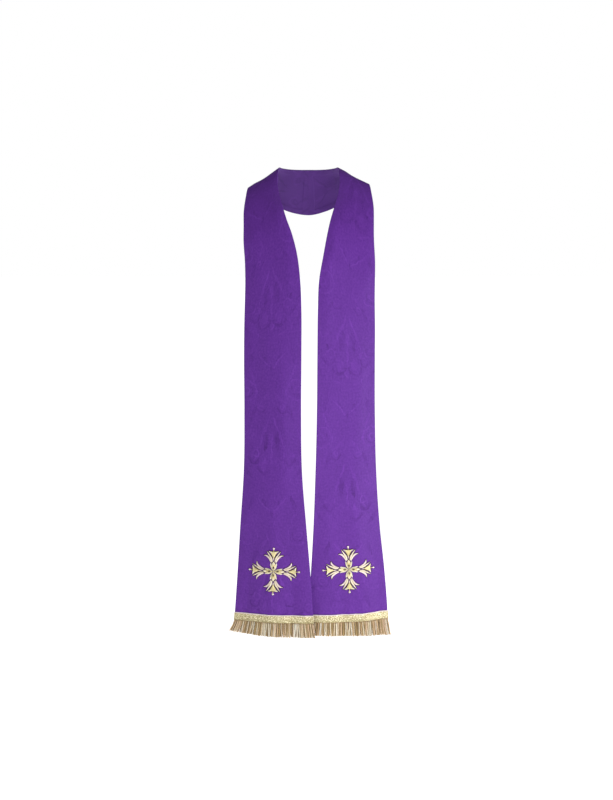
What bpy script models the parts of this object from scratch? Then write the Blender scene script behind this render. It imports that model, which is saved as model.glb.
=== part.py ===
"""Clerical stole, worn over the shoulders of a general figure.

Two flared damask panels meet in a seam at the centre back, pass over the shoulders and hang down in
front. Each panel ends in a gold galloon with a fringe, below an embroidered cross.

Metres, +Z up, the front towards -Y. The origin is the middle of the neck opening, level with where
the stole rests beside the neck. "Left" and "right" are the sides as seen from the front.
"""

import math
from bisect import bisect_right
from collections import namedtuple

import bmesh
import bpy
from mathutils import Matrix, Vector

MM = 0.001

# Cloth and trim, across their walls.
CLOTH_THICKNESS = 2.0 * MM
GALLOON_THICKNESS = 1.2 * MM
CROSS_THICKNESS = 0.8 * MM
FRINGE_THICKNESS = 5.0 * MM
GAP = 0.3 * MM

# Trim, along the panel.
GALLOON_HEIGHT = 20.0 * MM
GALLOON_OVERHANG = 0.6 * MM
FRINGE_LENGTH = 38.0 * MM
FRINGE_OUTER_SPREAD = 9.0 * MM
FRINGE_INNER_SPREAD = 4.0 * MM
FRINGE_ROWS = 3

# The crosses. Each is a little wider than it is tall.
CROSS_ABOVE_HEM = {"left": 129.0 * MM, "right": 132.5 * MM}
CROSS_WIDTH = 132.0 * MM
CROSS_HEIGHT = 119.0 * MM
CROSS_GAP = 0.5 * MM
CROSS_OUTWARDS = {"left": -3.0 * MM, "right": 0.0}
CROSS_TILT_DEGREES = {"left": 1.6, "right": 1.1}

# The faces of one panel: across it, along the back and shoulder, and along the front.
FACES_ACROSS = 10
FACES_OVER_SHOULDER = 26
FACES_DOWN_FRONT = 30
FRONT_BEGINS = 0.36
END_ROW = 2.0 * MM

# A section runs across a panel, from its inner edge, at the neck and the opening, to its outer edge.
# Its points are in millimetres for the right panel. The bow is how far its middle stands out.
Section = namedtuple("Section", "inner outer bow")

# From the centre back, over the shoulder. The left panel has the same sections, mirrored.
SHOULDER_SECTIONS = [
    Section((0, 70, -4), (0, 104, -116), 3),
    Section((25, 66, -4), (44, 97, -110), 3),
    Section((48, 52, -3), (86, 79, -93), 2),
    Section((64, 30, -1), (121, 50, -72), 1),
    Section((72, 5, 0), (144, 17, -54), 0),
    Section((74, -19, -10), (148, -12, -53), 0),
    Section((75, -41, -33), (152, -37, -75), 2),
    Section((71, -60, -60), (156, -56, -108), 4),
    Section((63, -80, -88), (156, -68, -144), 6),
    Section((53, -97, -120), (156, -77, -180), 7),
]

# The right shoulder is a little higher than the left one, at the outer edge.
SHOULDER_LIFT = {"left": 3.5, "right": 13.0}

# Down the front. The panels hang a little differently, and near the hem the left one lies over the
# right one, whose inner edge is tucked back. The last section but one is the hem, and the last is
# where the fringe ends.
FRONT_SECTIONS = {
    "right": [
        Section((44, -110, -158), (159, -83, -221), 8),
        Section((35, -120, -206), (159, -88, -264), 8),
        Section((25, -128, -264), (159, -91, -312), 8),
        Section((22, -133, -336), (160, -94, -375), 8),
        Section((21, -136, -432), (160, -97, -450), 8),
        Section((20, -139, -576), (161, -100, -583), 8),
        Section((17, -144, -720), (165, -104, -722), 8),
        Section((12, -149, -864), (175, -108, -867), 9),
        Section((6, -150, -970), (187, -110, -973), 10),
        Section((-1, -149, -1101), (197, -111, -1101), 12),
        Section((-2, -149, -1147), (199, -111, -1154), 12),
    ],
    "left": [
        Section((39, -110, -158), (153, -83, -221), 8),
        Section((27, -120, -206), (152, -88, -264), 8),
        Section((20, -128, -264), (153, -91, -312), 8),
        Section((17, -133, -336), (155, -94, -375), 8),
        Section((17, -136, -432), (156, -97, -450), 8),
        Section((18, -139, -576), (156, -100, -583), 8),
        Section((16, -144, -720), (158, -104, -722), 8),
        Section((5, -151, -864), (168, -108, -871), 8),
        Section((-4, -157, -970), (175, -111, -978), 9),
        Section((-12, -163, -1098), (184, -114, -1104), 10),
        Section((-14, -165, -1144), (187, -115, -1150), 10),
    ],
}

# Half the width of a cross's arm at distances from the centre, both as shares of the arm's length.
# The first row is the edge of the core that the four arms share.
ARM_PROFILE = [
    (0.09, 0.09),
    (0.22, 0.13),
    (0.38, 0.12),
    (0.50, 0.18),
    (0.63, 0.39),
    (0.72, 0.35),
    (0.82, 0.26),
    (0.87, 0.07),
    (1.00, 0.04),
]
CORE_FACES = 4
WELD_DISTANCE = 0.0001

# Short steps along the band that find which way its face looks.
CHORD_STEP = 1.0 * MM
NORMAL_STEP = 0.5 * MM

SIDES = {"left": -1.0, "right": 1.0}


class Band:
    """The outer face of one half of the stole, from the centre back to below the hem."""

    def __init__(self, side):
        self.sign = SIDES[side]
        sections = SHOULDER_SECTIONS + FRONT_SECTIONS[side]
        self.inner = [Vector(section.inner) * MM for section in sections]
        self.outer = [Vector(section.outer) * MM for section in sections]
        widest = max(section.outer[0] for section in SHOULDER_SECTIONS)
        for section, point in zip(SHOULDER_SECTIONS, self.outer):
            point.z += SHOULDER_LIFT[side] * MM * section.outer[0] / widest
        self.bow = [Vector((section.bow * MM, 0.0, 0.0)) for section in sections]
        middles = [(a + b) / 2 for a, b in zip(self.inner, self.outer)]
        self.knots = [0.0]
        for here, after in zip(middles, middles[1:]):
            self.knots.append(self.knots[-1] + (after - here).length)
        self.hem = self.knots[-2]

    def slope(self, points, index):
        """How fast points change at a section: across the centre back they are mirrored."""
        if index == 0:
            return Vector((points[1].x / self.knots[1], 0.0, 0.0))
        before = (points[index] - points[index - 1]) / (self.knots[index] - self.knots[index - 1])
        if index == len(points) - 1:
            return before
        after = (points[index + 1] - points[index]) / (self.knots[index + 1] - self.knots[index])
        share = (self.knots[index] - self.knots[index - 1]) / (self.knots[index + 1] - self.knots[index - 1])
        return before.lerp(after, share)

    def smooth(self, points, along):
        """The value of a smooth curve through points, at a distance along the band."""
        index = min(max(bisect_right(self.knots, along) - 1, 0), len(points) - 2)
        span = self.knots[index + 1] - self.knots[index]
        t = (along - self.knots[index]) / span
        start = points[index] * (1 + 2 * t) * (1 - t) ** 2
        start_slope = self.slope(points, index) * span * t * (1 - t) ** 2
        end = points[index + 1] * t * t * (3 - 2 * t)
        end_slope = self.slope(points, index + 1) * span * t * t * (t - 1)
        return start + start_slope + end + end_slope

    def width(self, along):
        return (self.smooth(self.outer, along) - self.smooth(self.inner, along)).length

    def flat_point(self, along, across):
        """A point on the face of the right-hand form, before it is mirrored for the left."""
        inner = self.smooth(self.inner, along)
        outer = self.smooth(self.outer, along)
        bow = self.smooth(self.bow, along).x * 4 * across * (1 - across)
        ahead_inner = self.smooth(self.inner, along + CHORD_STEP)
        ahead_outer = self.smooth(self.outer, along + CHORD_STEP)
        ahead = ahead_inner.lerp(ahead_outer, across)
        chord = inner.lerp(outer, across)
        outward = (ahead - chord).cross(outer - inner).normalized()
        return chord + outward * bow

    def point(self, along, across, lift=0.0):
        """A point on the face, lifted off it along its outward normal."""
        here = self.flat_point(along, across)
        if lift:
            down = self.flat_point(along + NORMAL_STEP, across) - here
            aside = self.flat_point(along, across + NORMAL_STEP) - here
            here = here + down.cross(aside).normalized() * lift
        return Vector((here.x * self.sign, here.y, here.z))


def spaced(start, end, count):
    """count + 1 evenly spaced values from start to end."""
    return [start + (end - start) * index / count for index in range(count + 1)]


def make_material(name, colour, roughness, metallic):
    material = bpy.data.materials.new(name)
    material.use_nodes = True
    shader = material.node_tree.nodes["Principled BSDF"]
    shader.inputs["Base Color"].default_value = (*colour, 1.0)
    shader.inputs["Roughness"].default_value = roughness
    shader.inputs["Metallic"].default_value = metallic
    return material


def make_wall(name, shape, side, thickness, material, collection):
    """A closed wall from an open sheet, whose faces look outwards before the left one is mirrored."""
    if SIDES[side] < 0:
        bmesh.ops.reverse_faces(shape, faces=shape.faces)
    mesh = bpy.data.meshes.new(name)
    shape.to_mesh(mesh)
    shape.free()
    mesh.shade_smooth()
    mesh.materials.append(material)
    wall = bpy.data.objects.new(name, mesh)
    collection.objects.link(wall)
    solidify = wall.modifiers.new("Wall", "SOLIDIFY")
    solidify.thickness = thickness
    solidify.offset = -1.0
    solidify.use_even_offset = True
    solidify.use_quality_normals = True
    return wall


def bent_grid(rows, columns, place):
    """A grid with a vertex for each row, from its top, and column, each moved by place(row, column)."""
    shape = bmesh.new()
    bmesh.ops.create_grid(shape, x_segments=len(columns) - 1, y_segments=len(rows) - 1, size=0.5)
    for vertex in shape.verts:
        column = columns[round((vertex.co.x + 0.5) * (len(columns) - 1))]
        row = rows[round((0.5 - vertex.co.y) * (len(rows) - 1))]
        vertex.co = place(row, column)
    return shape


def make_panel(band, side, material, collection):
    """One half of the band, which stops just short of the seam at the centre back."""
    shoulder_end = band.hem * FRONT_BEGINS
    rows = [0.0] + spaced(END_ROW, shoulder_end, FACES_OVER_SHOULDER)
    rows += spaced(shoulder_end, band.hem, FACES_DOWN_FRONT)[1:]
    columns = spaced(0.0, 1.0, FACES_ACROSS)
    seam = Vector((GAP / 2 * band.sign, 0.0, 0.0))

    def place(row, column):
        return band.point(row, column) + seam

    shape = bent_grid(rows, columns, place)
    make_wall("panel_" + side, shape, side, CLOTH_THICKNESS, material, collection)


def make_galloon(band, side, material, collection):
    """A strip of braid on the face of the panel, down to its hem and just past its edges."""
    rows = spaced(band.hem - GALLOON_HEIGHT, band.hem, 2)
    overhang = GALLOON_OVERHANG / band.width(band.hem)
    columns = spaced(-overhang, 1.0 + overhang, FACES_ACROSS)
    lift = GAP + GALLOON_THICKNESS

    def place(row, column):
        return band.point(row, column, lift)

    shape = bent_grid(rows, columns, place)
    make_wall("galloon_" + side, shape, side, GALLOON_THICKNESS, material, collection)


def make_fringe(band, side, material, collection):
    """The reach of the fringe, which hangs from the hem and spreads towards its lower edge."""
    top = band.hem + GAP
    rows = spaced(top, top + FRINGE_LENGTH, FRINGE_ROWS)
    columns = spaced(0.0, 1.0, FACES_ACROSS)
    lift = (FRINGE_THICKNESS + GALLOON_THICKNESS) / 2

    def place(row, column):
        share = (row - top) / FRINGE_LENGTH / band.width(row)
        inner = -FRINGE_INNER_SPREAD * share
        outer = 1.0 + FRINGE_OUTER_SPREAD * share
        return band.point(row, inner + (outer - inner) * column, lift)

    shape = bent_grid(rows, columns, place)
    make_wall("fringe_" + side, shape, side, FRINGE_THICKNESS, material, collection)


def flat_cross():
    """A flat cross of a core and four arms of length 1, which share the core's edges."""
    shape = bmesh.new()
    core = ARM_PROFILE[0][0]
    last_row = len(ARM_PROFILE) - 1
    bmesh.ops.create_grid(shape, x_segments=CORE_FACES, y_segments=CORE_FACES, size=core)
    for quarter in range(4):
        turn = Matrix.Rotation(math.radians(90 * quarter), 4, "Z")
        made = bmesh.ops.create_grid(shape, x_segments=CORE_FACES, y_segments=last_row, size=1.0)
        for vertex in made["verts"]:
            distance, half_width = ARM_PROFILE[round((vertex.co.y + 1.0) / 2 * last_row)]
            vertex.co = turn @ Vector((vertex.co.x * half_width, distance, 0.0))
    bmesh.ops.remove_doubles(shape, verts=shape.verts, dist=WELD_DISTANCE)
    return shape


def make_cross(band, side, material, collection):
    """An embroidered cross, laid on the middle of the panel above its hem."""
    shape = flat_cross()
    size = Matrix.Diagonal((CROSS_WIDTH / 2, CROSS_HEIGHT / 2, 1.0, 1.0))
    tilt = Matrix.Rotation(math.radians(CROSS_TILT_DEGREES[side]), 4, "Z")
    centre = band.hem - CROSS_ABOVE_HEM[side]
    lift = CROSS_GAP + CROSS_THICKNESS
    for vertex in shape.verts:
        flat = tilt @ size @ vertex.co
        along = centre - flat.y
        across = 0.5 + (flat.x + CROSS_OUTWARDS[side]) / band.width(along)
        vertex.co = band.point(along, across, lift)
    make_wall("cross_" + side, shape, side, CROSS_THICKNESS, material, collection)


def main():
    for existing in list(bpy.data.objects):
        bpy.data.objects.remove(existing)
    collection = bpy.data.collections.new("clerical_stole")
    bpy.context.scene.collection.children.link(collection)
    damask = make_material("purple_damask", (0.130, 0.045, 0.300), 0.50, 0.0)
    braid = make_material("gold_galloon", (0.700, 0.600, 0.330), 0.38, 0.5)
    thread = make_material("fringe_thread", (0.480, 0.380, 0.250), 0.45, 0.4)
    embroidery = make_material("embroidery_thread", (0.700, 0.580, 0.380), 0.40, 0.3)
    for side in SIDES:
        band = Band(side)
        make_panel(band, side, damask, collection)
        make_galloon(band, side, braid, collection)
        make_fringe(band, side, thread, collection)
        make_cross(band, side, embroidery, collection)


if __name__ == "__main__":
    main()
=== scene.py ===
"""The looks of a clerical stole: damask panels, embroidered crosses, galloons and fringes.

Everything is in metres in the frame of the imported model: +Z up, the front towards -Y, and the origin
in the middle of the neck opening. "Left" and "right" are the sides as seen from the front.
"""

import math
import random
from collections import namedtuple

import bpy
import numpy as np
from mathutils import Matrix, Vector


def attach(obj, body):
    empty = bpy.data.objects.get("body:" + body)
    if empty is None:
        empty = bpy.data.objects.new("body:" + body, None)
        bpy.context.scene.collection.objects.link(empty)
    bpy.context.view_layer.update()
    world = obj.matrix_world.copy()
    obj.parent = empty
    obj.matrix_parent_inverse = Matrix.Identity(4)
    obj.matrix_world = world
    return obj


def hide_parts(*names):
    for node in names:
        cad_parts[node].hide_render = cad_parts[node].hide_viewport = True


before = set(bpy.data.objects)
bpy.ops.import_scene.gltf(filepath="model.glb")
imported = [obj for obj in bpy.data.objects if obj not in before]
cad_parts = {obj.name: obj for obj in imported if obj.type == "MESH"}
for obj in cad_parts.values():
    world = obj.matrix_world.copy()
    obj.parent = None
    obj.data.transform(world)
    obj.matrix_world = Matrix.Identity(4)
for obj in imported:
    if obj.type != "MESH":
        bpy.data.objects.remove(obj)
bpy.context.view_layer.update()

MM = 0.001
SIDES = {"left": -1.0, "right": 1.0}

# -------- the form of the cloth
# The sections of the model's panels: inner edge x, y, z, outer edge x, y, z, and the bow between
# them, in millimetres, for the right-hand form. See Band.
SHOULDER_SECTIONS = [
    (0, 70, -4, 0, 104, -116, 3),
    (25, 66, -4, 44, 97, -110, 3),
    (48, 52, -3, 86, 79, -93, 2),
    (64, 30, -1, 121, 50, -72, 1),
    (72, 5, 0, 144, 17, -54, 0),
    (74, -19, -10, 148, -12, -53, 0),
    (75, -41, -33, 152, -37, -75, 2),
    (71, -60, -60, 156, -56, -108, 4),
    (63, -80, -88, 156, -68, -144, 6),
    (53, -97, -120, 156, -77, -180, 7),
]
SHOULDER_LIFT = {"left": 3.5, "right": 13.0}
FRONT_SECTIONS = {
    "right": [
        (44, -110, -158, 159, -83, -221, 8),
        (35, -120, -206, 159, -88, -264, 8),
        (25, -128, -264, 159, -91, -312, 8),
        (22, -133, -336, 160, -94, -375, 8),
        (21, -136, -432, 160, -97, -450, 8),
        (20, -139, -576, 161, -100, -583, 8),
        (17, -144, -720, 165, -104, -722, 8),
        (12, -149, -864, 175, -108, -867, 9),
        (6, -150, -970, 187, -110, -973, 10),
        (-1, -149, -1101, 197, -111, -1101, 12),
        (-2, -149, -1147, 199, -111, -1154, 12),
    ],
    "left": [
        (39, -110, -158, 153, -83, -221, 8),
        (27, -120, -206, 152, -88, -264, 8),
        (20, -128, -264, 153, -91, -312, 8),
        (17, -133, -336, 155, -94, -375, 8),
        (17, -136, -432, 156, -97, -450, 8),
        (18, -139, -576, 156, -100, -583, 8),
        (16, -144, -720, 158, -104, -722, 8),
        (5, -151, -864, 168, -108, -871, 8),
        (-4, -157, -970, 175, -111, -978, 9),
        (-12, -163, -1098, 184, -114, -1104, 10),
        (-14, -165, -1144, 187, -115, -1150, 10),
    ],
}
INNER = slice(0, 3)
OUTER = slice(3, 6)
OUTER_X, OUTER_Z, BOW = 3, 5, 6

# Soft creases. Each runs along a panel from start to end, in metres from the centre
# back, and shifts across it from across_start to across_end, as shares of its width. It is a ridge,
# or a trough where its height is negative. Half widths and heights are in millimetres.
Crease = namedtuple("Crease", "start end across_start across_end half_width height")
# The share of a crease's length over which it rises, and over which it falls again.
CREASE_FADE = 0.35
CREASES = {
    "right": [
        Crease(0.16, 0.56, 0.50, 0.52, 30, -2.6),
        Crease(0.17, 0.50, 0.90, 0.86, 16, 2.5),
        Crease(0.24, 0.66, 0.10, 0.16, 14, 2.5),
        Crease(0.48, 0.95, 0.80, 0.70, 24, 2.6),
        Crease(0.70, 1.12, 0.30, 0.38, 20, -2.2),
        Crease(0.88, 1.50, 0.62, 0.72, 22, 3.2),
        Crease(0.98, 1.50, 0.40, 0.42, 18, -2.6),
        Crease(1.02, 1.50, 0.90, 0.88, 12, -1.6),
        Crease(0.78, 1.50, 0.00, 0.00, 36, -6.0),
        Crease(0.00, 0.17, 0.55, 0.60, 18, -2.0),
        Crease(0.02, 0.20, 0.25, 0.22, 12, 1.5),
    ],
    "left": [
        Crease(0.18, 0.58, 0.55, 0.48, 26, -2.2),
        Crease(0.20, 0.52, 0.12, 0.18, 14, 2.0),
        Crease(0.40, 0.86, 0.78, 0.70, 22, -2.4),
        Crease(0.55, 1.02, 0.32, 0.28, 20, 2.8),
        Crease(0.84, 1.50, 0.52, 0.50, 24, 3.0),
        Crease(0.96, 1.50, 0.22, 0.26, 16, -2.2),
        Crease(1.00, 1.50, 0.82, 0.86, 14, -2.0),
        Crease(0.01, 0.18, 0.48, 0.52, 18, -2.2),
        Crease(0.04, 0.19, 0.80, 0.78, 12, 1.6),
    ],
}

# Small puckers above the galloon, at shares of the width across. The rest is in millimetres.
Pucker = namedtuple("Pucker", "across half_width height length")
# It has its full height from this far above the galloon.
PUCKER_FULL = 3 * MM
PUCKERS = {
    "right": [
        Pucker(0.14, 4.0, 0.7, 30), Pucker(0.23, 3.2, -0.6, 24), Pucker(0.33, 4.4, 0.9, 44),
        Pucker(0.42, 3.2, -0.8, 30), Pucker(0.50, 4.0, 1.0, 50), Pucker(0.58, 3.4, -0.9, 38),
        Pucker(0.66, 4.0, 1.1, 56), Pucker(0.74, 3.2, -0.8, 34), Pucker(0.83, 4.2, 0.9, 46),
        Pucker(0.91, 3.4, -0.7, 28),
    ],
    "left": [
        Pucker(0.10, 3.8, 0.6, 26), Pucker(0.24, 4.2, -0.7, 34), Pucker(0.36, 3.4, 0.7, 28),
        Pucker(0.46, 4.0, -0.9, 46), Pucker(0.55, 3.6, 0.8, 40), Pucker(0.68, 4.4, -0.6, 30),
        Pucker(0.80, 3.6, 0.6, 36), Pucker(0.90, 3.2, -0.5, 22),
    ],
}

# Small steps along and across the face, from which the way that it faces is found.
STEP_ALONG = 0.5 * MM
STEP_ACROSS = 0.005


def smoothstep(low, high, value):
    """0 below low, 1 above high and smooth between them."""
    t = np.clip((value - low) / (high - low), 0.0, 1.0)
    return t * t * (3 - 2 * t)


def distances(points):
    """How far along a line of points each of them is."""
    steps = np.linalg.norm(np.diff(points, axis=0), axis=1)
    return np.concatenate([[0.0], np.cumsum(steps)])


def smooth_between(knots, values, slopes, places):
    """Values at places along a smooth curve with the given values and slopes at its knots."""
    index = np.clip(np.searchsorted(knots, places, side="right") - 1, 0, len(knots) - 2)
    span = (knots[index + 1] - knots[index])[..., None]
    t = (places - knots[index])[..., None] / span
    start = values[index] * (1 + 2 * t) * (1 - t) ** 2 + slopes[index] * span * t * (1 - t) ** 2
    end = values[index + 1] * t * t * (3 - 2 * t) + slopes[index + 1] * span * t * t * (t - 1)
    return start + end


class Band:
    """The outer face of one half of the stole, from the centre back to below the hem.

    It is the face of the model's panel, with the creases added. Its arguments are arrays: along is
    the distance from the centre back, across runs from 0 at the inner edge to 1 at the outer one,
    and lift is the height over the face. All but across are in metres.
    """

    def __init__(self, side):
        self.side = side
        self.sign = SIDES[side]
        shoulder = np.array(SHOULDER_SECTIONS, float)
        shoulder[:, OUTER_Z] += SHOULDER_LIFT[side] * shoulder[:, OUTER_X] / shoulder[:, OUTER_X].max()
        self.rows = np.vstack([shoulder, np.array(FRONT_SECTIONS[side], float)]) * MM
        self.knots = distances((self.rows[:, INNER] + self.rows[:, OUTER]) / 2)
        # The last section is below the hem, where the fringe hangs.
        self.hem = self.knots[-2]
        self.slopes = np.gradient(self.rows, self.knots, axis=0)
        # At the centre back only X changes.
        self.slopes[0, 1:OUTER_X] = 0.0
        self.slopes[0, OUTER_X + 1:] = 0.0

    def section(self, along):
        """The smooth section at each distance: inner edge, outer edge and bow."""
        values = smooth_between(self.knots, self.rows, self.slopes, along)
        return values[..., INNER], values[..., OUTER], values[..., BOW]

    def width(self, along):
        """The straight distance from the inner edge to the outer one."""
        inner, outer, _ = self.section(np.asarray(along, float))
        return np.linalg.norm(outer - inner, axis=-1)

    def face(self, along, across):
        """Points on the smooth face, for the right-hand form: straight across, with the bow added."""
        inner, outer, bow = self.section(along)
        ahead_inner, ahead_outer, _ = self.section(along + MM)
        share = across[..., None]
        chord = inner + (outer - inner) * share
        ahead = ahead_inner + (ahead_outer - ahead_inner) * share
        outward = np.cross(ahead - chord, outer - inner)
        outward /= np.linalg.norm(outward, axis=-1, keepdims=True)
        return chord + outward * (bow * 4 * across * (1 - across))[..., None]

    def relief(self, along, across):
        """How far the creases and puckers lift the face."""
        width = self.width(along)
        height = np.zeros_like(along)
        for crease in CREASES[self.side]:
            t = (along - crease.start) / (crease.end - crease.start)
            middle = crease.across_start + (crease.across_end - crease.across_start) * t
            distance = (across - middle) * width / (crease.half_width * MM)
            fade = smoothstep(0.0, CREASE_FADE, t) * (1 - smoothstep(1 - CREASE_FADE, 1.0, t))
            height += crease.height * MM * fade * np.exp(-distance * distance)
        top = self.hem - GALLOON_HEIGHT
        for pucker in PUCKERS[self.side]:
            distance = (across - pucker.across) * width / (pucker.half_width * MM)
            above = smoothstep(top - pucker.length * MM, top - PUCKER_FULL, along)
            below = 1 - smoothstep(top, self.hem, along)
            height += pucker.height * MM * above * below * np.exp(-distance * distance)
        return height

    def point(self, along, across, lift):
        """Points over the face, along its outward normal."""
        along, across, lift = np.broadcast_arrays(
            np.asarray(along, float), np.asarray(across, float), np.asarray(lift, float)
        )
        here = self.face(along, across)
        down = self.face(along + STEP_ALONG, across) - here
        aside = self.face(along, across + STEP_ACROSS) - here
        outward = np.cross(down, aside)
        outward /= np.linalg.norm(outward, axis=-1, keepdims=True)
        found = here + outward * (lift + self.relief(along, across))[..., None]
        found[..., 0] *= self.sign
        return found


# -------- meshes
def rounded_edge(distance, radius):
    """How far a rounded edge falls below the face, at a distance from the edge."""
    share = np.clip(distance / radius, 0.0, 1.0)
    return radius * (1 - np.sqrt(1 - (1 - share) ** 2))


def ribbon_mesh(points):
    """Vertices and faces of a closed body from rows of rings, which is shut at both ends.

    points is an array of rows, places around a ring, and coordinates. The first half of a ring is
    the front, and the second half is the back, in the opposite order.
    """
    rows, ring, _ = points.shape
    index = np.arange(rows * ring).reshape(rows, ring)
    after = np.roll(index, -1, axis=1)
    sides = np.stack([index[:-1], after[:-1], after[1:], index[1:]], axis=-1).reshape(-1, 4)
    half = ring // 2
    front = np.arange(half - 1)
    across = np.stack([front, ring - 1 - front, ring - 2 - front, front + 1], axis=-1)
    far = np.stack([front, front + 1, ring - 2 - front, ring - 1 - front], axis=-1)
    faces = np.concatenate([sides, index[0][across], index[-1][far]])
    return points.reshape(-1, 3), faces


def ribbon_slots(points, faces, first, last):
    """Material 1 for a ribbon's faces from first to last around its rings, and 0 for the others."""
    rows, ring, _ = points.shape
    slots = np.zeros(len(faces), int)
    slots[:(rows - 1) * ring].reshape(rows - 1, ring)[:, first:last] = 1
    return slots


def joined(bodies):
    """One body from several, given as vertices, faces, a material index and a tint each."""
    starts = np.cumsum([0] + [len(body[0]) for body in bodies])
    vertices = np.concatenate([body[0] for body in bodies])
    faces = np.concatenate([body[1] + start for body, start in zip(bodies, starts)])
    slots = np.concatenate([np.full(len(body[1]), body[2]) for body in bodies])
    tints = np.concatenate([np.full(len(body[0]), body[3]) for body in bodies])
    return vertices, faces, slots, tints


def add_object(name, data):
    made = bpy.data.objects.new(name, data)
    bpy.context.scene.collection.objects.link(made)
    return made


def make_object(name, vertices, faces, slots, materials, tints, mirrored):
    """A smooth mesh object. A mirrored one has its faces turned over, so that they look outwards."""
    if mirrored:
        faces = faces[:, ::-1]
    mesh = bpy.data.meshes.new(name)
    mesh.from_pydata(vertices.tolist(), [], faces.tolist())
    for material in materials:
        mesh.materials.append(material)
    mesh.polygons.foreach_set("material_index", np.asarray(slots, dtype=np.int32))
    mesh.polygons.foreach_set("use_smooth", np.ones(len(faces), dtype=bool))
    attribute = mesh.attributes.new("tint", "FLOAT", "POINT")
    attribute.data.foreach_set("value", np.asarray(tints, dtype=np.float32))
    mesh.update()
    return add_object(name, mesh)


def settle(piece, node):
    """The piece moves with the part's one body and stands for a node."""
    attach(piece, "root")
    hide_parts(node)


# -------- materials
class Value:
    """A shader value that takes part in sums, so that a pattern reads as a formula."""

    def __init__(self, tree, socket):
        self.tree = tree
        self.socket = socket

    def math(self, operation, *others):
        node = self.tree.nodes.new("ShaderNodeMath")
        node.operation = operation
        for place, value in enumerate((self, *others)):
            if isinstance(value, Value):
                self.tree.links.new(value.socket, node.inputs[place])
            else:
                node.inputs[place].default_value = value
        return Value(self.tree, node.outputs[0])

    def __add__(self, other):
        return self.math("ADD", other)

    def __sub__(self, other):
        return self.math("SUBTRACT", other)

    def __mul__(self, other):
        return self.math("MULTIPLY", other)

    def __truediv__(self, other):
        return self.math("DIVIDE", other)

    def absolute(self):
        return self.math("ABSOLUTE")

    def sine(self):
        return self.math("SINE")

    def wrapped(self, low, high):
        return self.math("WRAP", high, low)

    def fading(self, low, high):
        """1 below low, 0 above high and smooth between them."""
        node = self.tree.nodes.new("ShaderNodeMapRange")
        node.interpolation_type = "SMOOTHSTEP"
        self.tree.links.new(self.socket, node.inputs["Value"])
        for name, value in (("From Min", low), ("From Max", high), ("To Min", 1.0), ("To Max", 0.0)):
            node.inputs[name].default_value = value
        return Value(self.tree, node.outputs["Result"])


def new_material(name, roughness, metallic=0.0, sheen=0.0, specular=0.5):
    """A material, its node tree and its Principled shader."""
    material = bpy.data.materials.new(name)
    material.use_nodes = True
    shader = material.node_tree.nodes["Principled BSDF"]
    shader.inputs["Roughness"].default_value = roughness
    shader.inputs["Metallic"].default_value = metallic
    shader.inputs["Sheen Weight"].default_value = sheen
    shader.inputs["Specular IOR Level"].default_value = specular
    return material, material.node_tree, shader


def colour_ramp(tree, shade, stops):
    """The colour of a shade, from a list of (position, colour) stops."""
    node = tree.nodes.new("ShaderNodeValToRGB")
    tree.links.new(shade.socket, node.inputs["Fac"])
    elements = node.color_ramp.elements
    while len(elements) < len(stops):
        elements.new(0.5)
    for element, (position, colour) in zip(elements, stops):
        element.position = position
        element.color = (*colour, 1.0)
    return node.outputs["Color"]


# A noise of so many features to the metre, and the levels of finer detail on them.
Noise = namedtuple("Noise", "per_metre detail")
BUMP_DEPTH = 0.1 * MM


def noise(tree, place, kind):
    """A noise around 0.5 at a place in metres."""
    node = tree.nodes.new("ShaderNodeTexNoise")
    tree.links.new(place, node.inputs["Vector"])
    node.inputs["Scale"].default_value = kind.per_metre
    node.inputs["Detail"].default_value = kind.detail
    return Value(tree, node.outputs["Fac"])


def add_bump(tree, shader, height, strength):
    node = tree.nodes.new("ShaderNodeBump")
    node.inputs["Strength"].default_value = strength
    node.inputs["Distance"].default_value = BUMP_DEPTH
    tree.links.new(height.socket, node.inputs["Height"])
    tree.links.new(node.outputs["Normal"], shader.inputs["Normal"])


# The damask's figure, in millimetres. It repeats down the cloth and across it, with every other
# column half a repeat lower, and is the same on both sides of a column's middle. Places are across
# from that middle and up from a small notch between two figures. Dark shapes weigh less than 0.
REPEAT_ACROSS = 156
REPEAT_DOWN = 354
REPEAT_ABOVE = 62
# How far below the centre back a notch is, in metres.
NOTCH_ALONG = {"left": 0.291, "right": 0.409}
Leaf = namedtuple("Leaf", "across up angle length half_width weight")
# A ring is shown up to its top, over its centre, so that a low one leaves a scallop.
Ring = namedtuple("Ring", "across up radius half_width weight top")
LEAVES = [
    Leaf(0, -8, 0, 16, 3.2, -0.9),
    Leaf(2, 1, 42, 58, 1.9, 0.8),
    Leaf(10, 14, 30, 30, 3.0, -0.6),
    Leaf(35, -196, -21, 92, 2.6, 1.0),
    Leaf(17, -202, -6, 56, 6.4, -0.8),
    Leaf(0, -186, 0, 34, 4.6, 0.9),
    Leaf(0, -240, 0, 70, 2.4, 0.9),
    Leaf(0, -262, 0, 24, 5.0, 0.8),
    Leaf(21, -250, -8, 34, 9.0, 0.6),
    Leaf(44, -224, 12, 30, 7.5, 0.5),
    Leaf(40, -196, 160, 34, 4.2, -0.7),
    Leaf(30, -86, -35, 34, 3.4, 0.7),
    Leaf(54, -128, -20, 44, 4.8, -0.7),
    Leaf(44, -30, 24, 44, 3.6, 0.6),
    Leaf(58, 6, -14, 44, 5.0, -0.7),
    Leaf(8, -70, 14, 40, 2.8, 0.6),
    Leaf(50, -270, 38, 42, 4.6, -0.7),
    Leaf(12, -280, 62, 36, 2.4, 0.6),
]
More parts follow.
